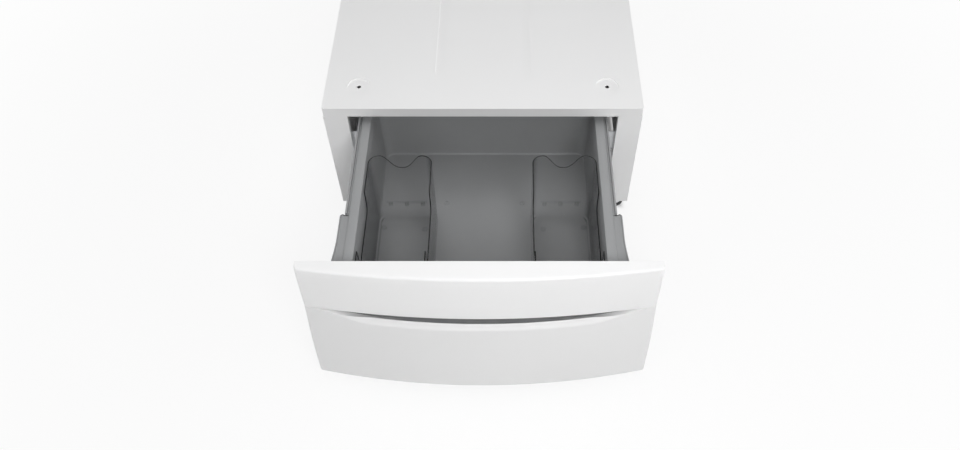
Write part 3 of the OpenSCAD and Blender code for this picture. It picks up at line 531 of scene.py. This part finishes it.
# Pads that carry the slides, ribs under the floor, and the floor's rings. A ring or lug is given
# as (outer radius, inner radius, height).
SLIDE_Z = 235
PAD_X, PAD_Y, PAD_Z = (TUB_HALF + 0.5, TUB_HALF + 6), (-378, 72), (SLIDE_Z - 11, SLIDE_Z + 11)
RIB_X, RIB_Y = (-195, 195), (-330, 78)
RIB_Z = (FLOOR_Z - TUB_WALL - 7, FLOOR_Z - TUB_WALL + 0.5)
RIB_PLACES_X, RIB_PLACES_Y = range(-150, 151, 75), range(-300, 76, 75)
FLOOR_RING, TUB_RING_AT = (6, 4, 2), (88, -52)


def rim_loop(half, z):
    """Loop of the rim: square at the drawer front, round at the back."""
    grow = half - TUB_HALF
    return plan_loop(half, RIM_FRONT, TUB_BACK + grow, RIM_FRONT_R, CORNER_R + grow, z)


def wall_loop(draft, z, inset=0, shell=0):
    """Loop of the tub's wall: draft and inset draw it in, and shell takes it to the outside."""
    r = CORNER_R + shell - inset
    return plan_loop(TUB_HALF + shell - draft - inset, TUB_FRONT - min(shell, FRONT_WALL) + inset,
                     TUB_BACK + shell - draft - inset, r, r, z)


def tub_loops():
    """Loops of the tub: up its inside from the floor, over the flat band, and down its outside."""
    loops = [wall_loop(DRAFT, FLOOR_Z + FLOOR_R * (1 - math.cos(a)), FLOOR_R * (1 - math.sin(a)))
             for a in arc(FLOOR_STEPS)]
    loops += [wall_loop(DRAFT * (1 - t), FLOOR_Z + FLOOR_R + WALL_RUN * t) for t in WALL_SHARES]
    loops += [wall_loop(-out, RIM_Z - down) for out, down in ROUND]
    loops += [rim_loop(BAND_X - back, RIM_Z - down) for down, back in ROUND]
    loops += [rim_loop(BAND_X, RIM_Z - BAND_DROP),
              rim_loop(BAND_X - TUB_WALL, RIM_Z - BAND_DROP),
              rim_loop(BAND_X - TUB_WALL, RIM_Z - TUB_WALL),
              rim_loop(TUB_HALF + TUB_WALL + 1, RIM_Z - TUB_WALL),
              wall_loop(0.1, RIM_Z - TUB_WALL - 1, 0, TUB_WALL)]
    loops += [wall_loop(DRAFT * (1 - t), FLOOR_Z + WALL_RUN * t, 0, TUB_WALL)
              for t in reversed(WALL_SHARES)]
    loops += [wall_loop(DRAFT, FLOOR_Z - TUB_WALL + FLOOR_R * (1 - math.sin(a)),
                        FLOOR_R * (1 - math.cos(a)), TUB_WALL) for a in arc(FLOOR_STEPS)]
    return loops


def rim_path(half, z):
    """Points at one offset along the rim: from the right cheek round the back to the left one."""
    grow = half - TUB_HALF
    loop = plan_loop(half, CHEEK_Y0, TUB_BACK + grow, 0.01, CORNER_R + grow, z)
    return loop[CORNER_STEPS:-CORNER_STEPS]


def sweep_rim(bm, section):
    """Sweeps a closed section, given as (offset, z), along the rim behind the cheeks."""
    lines = [rim_path(half, z) for half, z in section]
    skin(bm, [list(loop) for loop in zip(*lines)])


bm = bmesh.new()
skin(bm, tub_loops())
sweep_rim(bm, GROOVE)
for s in (-1, 1):
    side_box(bm, s, PAD_X, PAD_Y, PAD_Z, 0.8)
    ring(bm, s * TUB_RING_AT[0], TUB_RING_AT[1], FLOOR_Z, *FLOOR_RING)
for y in RIB_PLACES_Y:
    round_box(bm, (RIB_X[0], y - 1, RIB_Z[0]), (RIB_X[1], y + 1, RIB_Z[1]))
for x in RIB_PLACES_X:
    round_box(bm, (x - 1, RIB_Y[0], RIB_Z[0]), (x + 1, RIB_Y[1], RIB_Z[1]))
finish_mesh("tub", bm, [GREY], "drawer", ["drawer_tub"], sharp=40)

# ------------------------------------------------------------------ cheeks

CHEEK_IN, CHEEK_X, CHEEK_BEND_Y, CHEEK_FLARE = BAND_X + 0.1, 281, -308, 8
CHEEK_TOP, CHEEK_LEDGE, CHEEK_LOW = RIM_Z - 3, RIM_Z - 6, SLIDE_Z + 28
CHEEK_T, CHEEK_R, CHEEK_FRONT = 2.5, 5, BACK_Y + 0.3
CHEEK_R_STEPS, CHEEK_STEPS = 8, 40


def cheek_outer(y):
    t = max(0, (CHEEK_BEND_Y - y) / (CHEEK_BEND_Y - BACK_Y))
    return CHEEK_X + CHEEK_FLARE * t ** BEND_POWER


def cheek_sections():
    """Rows of (y, inset) from the rounded back end to the drawer front."""
    ys = [(CHEEK_Y0 - CHEEK_R * (1 - math.cos(a)), -CHEEK_R * (1 - math.sin(a)))
          for a in arc(CHEEK_R_STEPS)]
    y0 = CHEEK_Y0 - CHEEK_R
    ys += [(y0 - (y0 - CHEEK_FRONT) * k / CHEEK_STEPS, 0) for k in range(1, CHEEK_STEPS + 1)]
    return ys


def cheek_line(o):
    """Section of a cheek, as (x, z), whose outer face is at o: its ledge beside the rim, then its
    upright wall. The small numbers round the edges."""
    i = o - CHEEK_T
    ledge, top, low = CHEEK_LEDGE, CHEEK_TOP, CHEEK_LOW
    return [(CHEEK_IN, ledge - CHEEK_T), (CHEEK_IN, ledge), (i - 1.2, ledge),
            (i - 0.35, ledge + 0.35), (i, ledge + 1), (i + 0.1, top - 0.8), (i + 0.4, top - 0.2),
            (i + 1, top), (o - 1, top), (o - 0.35, top - 0.3), (o, top - 1), (o, low + 0.8),
            (o - 0.8, low), (i + 0.8, low), (i, low + 0.8), (i, ledge - CHEEK_T)]


for side, s in (("left", -1), ("right", 1)):
    bm = bmesh.new()
    skin(bm, [[at(s * x, y, z) for x, z in cheek_line(cheek_outer(y) + draw)]
              for y, draw in cheek_sections()])
    side_box(bm, s, (CHEEK_IN, CHEEK_X - CHEEK_R), (CHEEK_Y0 - CHEEK_T, CHEEK_Y0),
             (CHEEK_LOW, CHEEK_LEDGE))
    finish_mesh("cheek_" + side, bm, [GREY], "drawer", ["side_cheek_" + side],
                sharp=35)

# ------------------------------------------------------------------ bins

BIN_IN, BIN_OUT = 105, TUB_HALF - DRAFT - 0.6
BIN_BACK, BIN_FRONT = -89, TUB_FRONT + 3
BIN_LOW, BIN_TOP, BIN_R, BIN_T, BIN_ROUND = FLOOR_Z + 0.3, 297, 22, 2.2, 0.6
BIN_XC, BIN_YC = (BIN_IN + BIN_OUT) / 2, (BIN_BACK + BIN_FRONT) / 2
BIN_W, BIN_L = BIN_OUT - BIN_IN, BIN_BACK - BIN_FRONT
BIN_FOOT_IN, BIN_FOOT_H = 5, 6
# Scoop in the back wall: how far it stays from the bin's sides, its depth, and its shape
SCOOP_MARGIN, SCOOP_H, SCOOP_POWER = 24, 37, 1.25
# Dip in the side walls: each end falls steeply over DIP_RUN and then has the radius DIP_R
DIP_H, DIP_R, DIP_RUN, DIP_EARLY = 52, 14, 3, 0.5
DIP_Y0, DIP_Y1, DIP_Z = BIN_FRONT + 44, BIN_BACK - 100, BIN_TOP - DIP_H
# Places of the plan's points along a side: from each end of the dip, and from the middle
DIP_POINTS = (-0.5, 0, 0.5, 1, 1.5, 2, 2.5, 3, 4, 5, 7, 9, 12, 15, 17)
SIDE_POINTS = (-60, -45, -30, -15, 0, 15, 30, 60, 75, 90)
BACK_STEPS, BIN_CORNER_STEPS = 44, 10
# Rib across the inside of the back wall, its three lugs, and the places of two floor rings
BACK_RIB_REACH, BACK_RIB_Z = 9, (146, 148)
LUG, LUG_PITCH, LUG_Z, LUG_STEPS = (4.5, 2, 8), 36, 140, 24
BIN_RINGS_AT = ((134, -131), (226, -126))


def bin_top(x, y):
    """Height of a bin's wall at a point of its plan."""
    half = BIN_W / 2 - SCOOP_MARGIN
    if y > BIN_BACK - BIN_R and abs(x - BIN_XC) < half:
        t = abs(x - BIN_XC) / half
        return BIN_TOP - SCOOP_H * (0.5 + 0.5 * math.cos(math.pi * t ** SCOOP_POWER))
    if DIP_Y0 < y < DIP_Y1:
        d = min(y - DIP_Y0, DIP_Y1 - y)
        end = DIP_RUN + DIP_R
        if d < DIP_RUN:
            return BIN_TOP - (DIP_H - DIP_R) * ease(-DIP_EARLY, DIP_RUN, d)
        if d < end:
            return DIP_Z + DIP_R - math.sqrt(max(0, DIP_R ** 2 - (end - d) ** 2))
        return DIP_Z
    return BIN_TOP


def bin_plan(inset):
    """Points of a bin's plan, close together where the top line turns."""
    w, l, r = BIN_W / 2 - inset, BIN_L / 2 - inset, BIN_R - inset
    ys = sorted({-l + r, l - r} | {DIP_Y0 - BIN_YC + d for d in DIP_POINTS}
                | {DIP_Y1 - BIN_YC - d for d in DIP_POINTS} | set(SIDE_POINTS))
    xs = [-(w - r) + 2 * (w - r) * k / BACK_STEPS for k in range(BACK_STEPS + 1)]

    def corner(cx, cy, start):
        return [(cx + r * math.cos(t), cy + r * math.sin(t))
                for t in arc(BIN_CORNER_STEPS, start)[1:-1]]

    return ([(w, y) for y in ys] + corner(w - r, l - r, 0)
            + [(x, l) for x in reversed(xs)] + corner(-w + r, l - r, 90)
            + [(-w, y) for y in reversed(ys)] + corner(-w + r, -l + r, 180)
            + [(x, -l) for x in xs] + corner(w - r, -l + r, 270))


def bin_loops(s):
    """Loops of a bin's outside, of its top edge and of its inside."""
    outer, inner = bin_plan(0), bin_plan(BIN_T)
    edge_out, edge_in = bin_plan(BIN_ROUND), bin_plan(BIN_T - BIN_ROUND)
    foot_out, foot_in = bin_plan(BIN_FOOT_IN), bin_plan(BIN_FOOT_IN + BIN_T)
    tops = [bin_top(BIN_XC + x, BIN_YC + y) for x, y in outer]
    below = [t - BIN_ROUND for t in tops]
    step = BIN_LOW + BIN_FOOT_H

    def loop(plan, heights):
        return [at(s * (BIN_XC + x), BIN_YC + y, h) for (x, y), h in zip(plan, heights)]

    def flat(plan, z):
        return loop(plan, [z] * len(plan))

    wall = [flat(foot_out, BIN_LOW), flat(foot_out, step), flat(outer, step)]
    wall += [loop(outer, [step + (t - step) * f for t in below]) for f in (0.25, 0.5, 0.75, 1)]
    edge = [wall[-1], loop(edge_out, tops), loop(edge_in, tops), loop(inner, below)]
    down = [edge[-1]]
    down += [loop(inner, [step + BIN_T + (t - step - BIN_T) * f for t in below])
             for f in (0.75, 0.5, 0.25, 0)]
    down += [flat(foot_in, step + BIN_T), flat(foot_in, BIN_LOW + BIN_T)]
    return wall, edge, down


for side, s in (("left", -1), ("right", 1)):
    bm = bmesh.new()
    wall, edge, down = bin_loops(s)
    skin(bm, wall, cap_last=False)
    skin(bm, edge, cap_first=False, cap_last=False, material=1)
    skin(bm, down, cap_first=False)
    rib_y = BIN_BACK - BACK_RIB_REACH
    side_box(bm, s, (BIN_IN + BIN_R, BIN_OUT - BIN_R), (rib_y, BIN_BACK - BIN_T), BACK_RIB_Z, 0.5)
    for k in (-1, 0, 1):
        ring(bm, s * (BIN_XC + k * LUG_PITCH), rib_y, LUG_Z, *LUG, LUG_STEPS)
    for x, y in BIN_RINGS_AT:
        ring(bm, s * x, y, BIN_LOW + BIN_T, *FLOOR_RING)
    finish_mesh("bin_" + side, bm, [CLEAR, EDGE], "lift_out_divider_" + side,
                ["divider_" + side], sharp=40)

# ------------------------------------------------------------------ stage

# Half the cabinet's footprint in metres: inside it the floor doesn't glow
FOOTPRINT_HALF = (0.344, 0.311)
FOOTPRINT_FADE = 0.02
# Share of the floor's glow near the pedestal, which grows to 1 between two distances in metres
FLOOR_GLOW, GLOW_NEAR, GLOW_FAR = 0.85, 0.6, 2.2
FLOOR_HALF = 14


def join(tree, kind, a, b):
    """A Math node on two inputs, each a socket or a number."""
    n = tree.nodes.new("ShaderNodeMath")
    n.operation = kind
    for socket, value in zip(n.inputs, (a, b)):
        if isinstance(value, (int, float)):
            socket.default_value = value
        else:
            tree.links.new(value, socket)
    return n.outputs[0]


def fade(tree, value, lo_in, hi_in, low, high):
    """A smooth run from low at lo_in to high at hi_in."""
    r = tree.nodes.new("ShaderNodeMapRange")
    r.interpolation_type = "SMOOTHSTEP"
    r.inputs["From Min"].default_value = lo_in
    r.inputs["From Max"].default_value = hi_in
    r.inputs["To Min"].default_value = low
    r.inputs["To Max"].default_value = high
    tree.links.new(value, r.inputs["Value"])
    return r.outputs["Result"]


def background_rays(tree):
    """One for the rays that show the background, straight or through gloss and glass."""
    path = tree.nodes.new("ShaderNodeLightPath")
    bent = join(tree, "MAXIMUM", path.outputs["Is Glossy Ray"], path.outputs["Is Transmission Ray"])
    return join(tree, "MAXIMUM", path.outputs["Is Camera Ray"], bent)


def floor_material():
    """Ground that shows white, with its shadows kept and no glow inside the cabinet."""
    mat = bpy.data.materials.new("studio_floor")
    mat.use_nodes = True
    t = mat.node_tree
    t.nodes.clear()
    out = t.nodes.new("ShaderNodeOutputMaterial")
    glow = t.nodes.new("ShaderNodeEmission")
    glow.inputs["Color"].default_value = (1, 1, 1, 1)
    glow.inputs["Strength"].default_value = 1
    diffuse = t.nodes.new("ShaderNodeBsdfDiffuse")
    diffuse.inputs["Color"].default_value = (0.86, 0.86, 0.86, 1)
    point = t.nodes.new("ShaderNodeTexCoord").outputs["Object"]
    place = t.nodes.new("ShaderNodeSeparateXYZ")
    t.links.new(point, place.inputs[0])
    across = join(t, "SUBTRACT", join(t, "ABSOLUTE", place.outputs["X"], 0), FOOTPRINT_HALF[0])
    along = join(t, "SUBTRACT", place.outputs["Y"], FOOTPRINT_HALF[1] - ORIGIN_Y * MM)
    along = join(t, "SUBTRACT", join(t, "ABSOLUTE", along, 0), FOOTPRINT_HALF[1])
    outside = fade(t, join(t, "MAXIMUM", across, along), -FOOTPRINT_FADE, 0, 0, 1)
    reach = t.nodes.new("ShaderNodeVectorMath")
    reach.operation = "LENGTH"
    t.links.new(point, reach.inputs[0])
    share = fade(t, reach.outputs["Value"], GLOW_NEAR, GLOW_FAR, FLOOR_GLOW, 1)
    mix = t.nodes.new("ShaderNodeMixShader")
    t.links.new(join(t, "MULTIPLY", background_rays(t), join(t, "MULTIPLY", outside, share)),
                mix.inputs["Fac"])
    t.links.new(diffuse.outputs[0], mix.inputs[1])
    t.links.new(glow.outputs[0], mix.inputs[2])
    t.links.new(mix.outputs[0], out.inputs["Surface"])
    return mat


mesh = bpy.data.meshes.new("floor")
corners = [(sx * FLOOR_HALF, sy * FLOOR_HALF, 0) for sx, sy in ((-1, -1), (1, -1), (1, 1), (-1, 1))]
mesh.from_pydata(corners, [], [(0, 1, 2, 3)])
mesh.materials.append(floor_material())
floor = bpy.data.objects.new("floor", mesh)
scene.collection.objects.link(floor)

world = bpy.data.worlds.new("studio")
scene.world = world
world.use_nodes = True
t = world.node_tree
light = t.nodes["Background"]
light.inputs["Color"].default_value = (1, 1, 1, 1)
light.inputs["Strength"].default_value = 0.1
seen = t.nodes.new("ShaderNodeBackground")
seen.inputs["Color"].default_value = (1, 1, 1, 1)
seen.inputs["Strength"].default_value = 1
mix = t.nodes.new("ShaderNodeMixShader")
t.links.new(background_rays(t), mix.inputs["Fac"])
t.links.new(light.outputs[0], mix.inputs[1])
t.links.new(seen.outputs[0], mix.inputs[2])
t.links.new(mix.outputs[0], t.nodes["World Output"].inputs["Surface"])


def lamp(name, where, aim, size, power, shines=True):
    """A soft lamp that the camera doesn't see. One that doesn't shine leaves no reflection."""
    data = bpy.data.lights.new(name, "AREA")
    data.shape = "RECTANGLE"
    data.size, data.size_y = size
    data.energy = power
    obj = bpy.data.objects.new(name, data)
    scene.collection.objects.link(obj)
    obj.location = where
    obj.rotation_euler = (Vector(aim) - Vector(where)).to_track_quat("-Z", "Y").to_euler()
    obj.visible_camera = False
    obj.visible_glossy = shines


lamp("key", (1.5, -2.2, 3.2), (0.0, -0.3, 0.2), (2.4, 1.8), 8)
lamp("fill", (-2.0, -2.4, 2.4), (0.0, -0.4, 0.2), (2.2, 1.8), 17)
lamp("top", (0.0, -0.3, 3.2), (0.0, -0.3, 0.3), (1.8, 1.8), 27)
lamp("back", (0.0, 1.2, 2.8), (0.0, -0.2, 0.2), (2.0, 1.6), 6)
lamp("front", (0.35, -1.6, 1.5), (0.0, -0.45, 0.2), (0.7, 0.5), 14)
lamp("side", (1.9, -1.0, 1.1), (0.2, -0.3, 0.2), (1.2, 1.0), 5)
lamp("flank_left", (-3.0, 0.5, 0.95), (-0.2, 0.2, 0.15), (2.0, 1.0), 20, False)
lamp("flank_right", (3.0, 0.5, 0.95), (0.2, 0.2, 0.15), (2.0, 1.0), 20, False)
lamp("rear", (0.3, 3.6, 1.0), (0.0, 0.3, 0.15), (2.2, 1.0), 24, False)
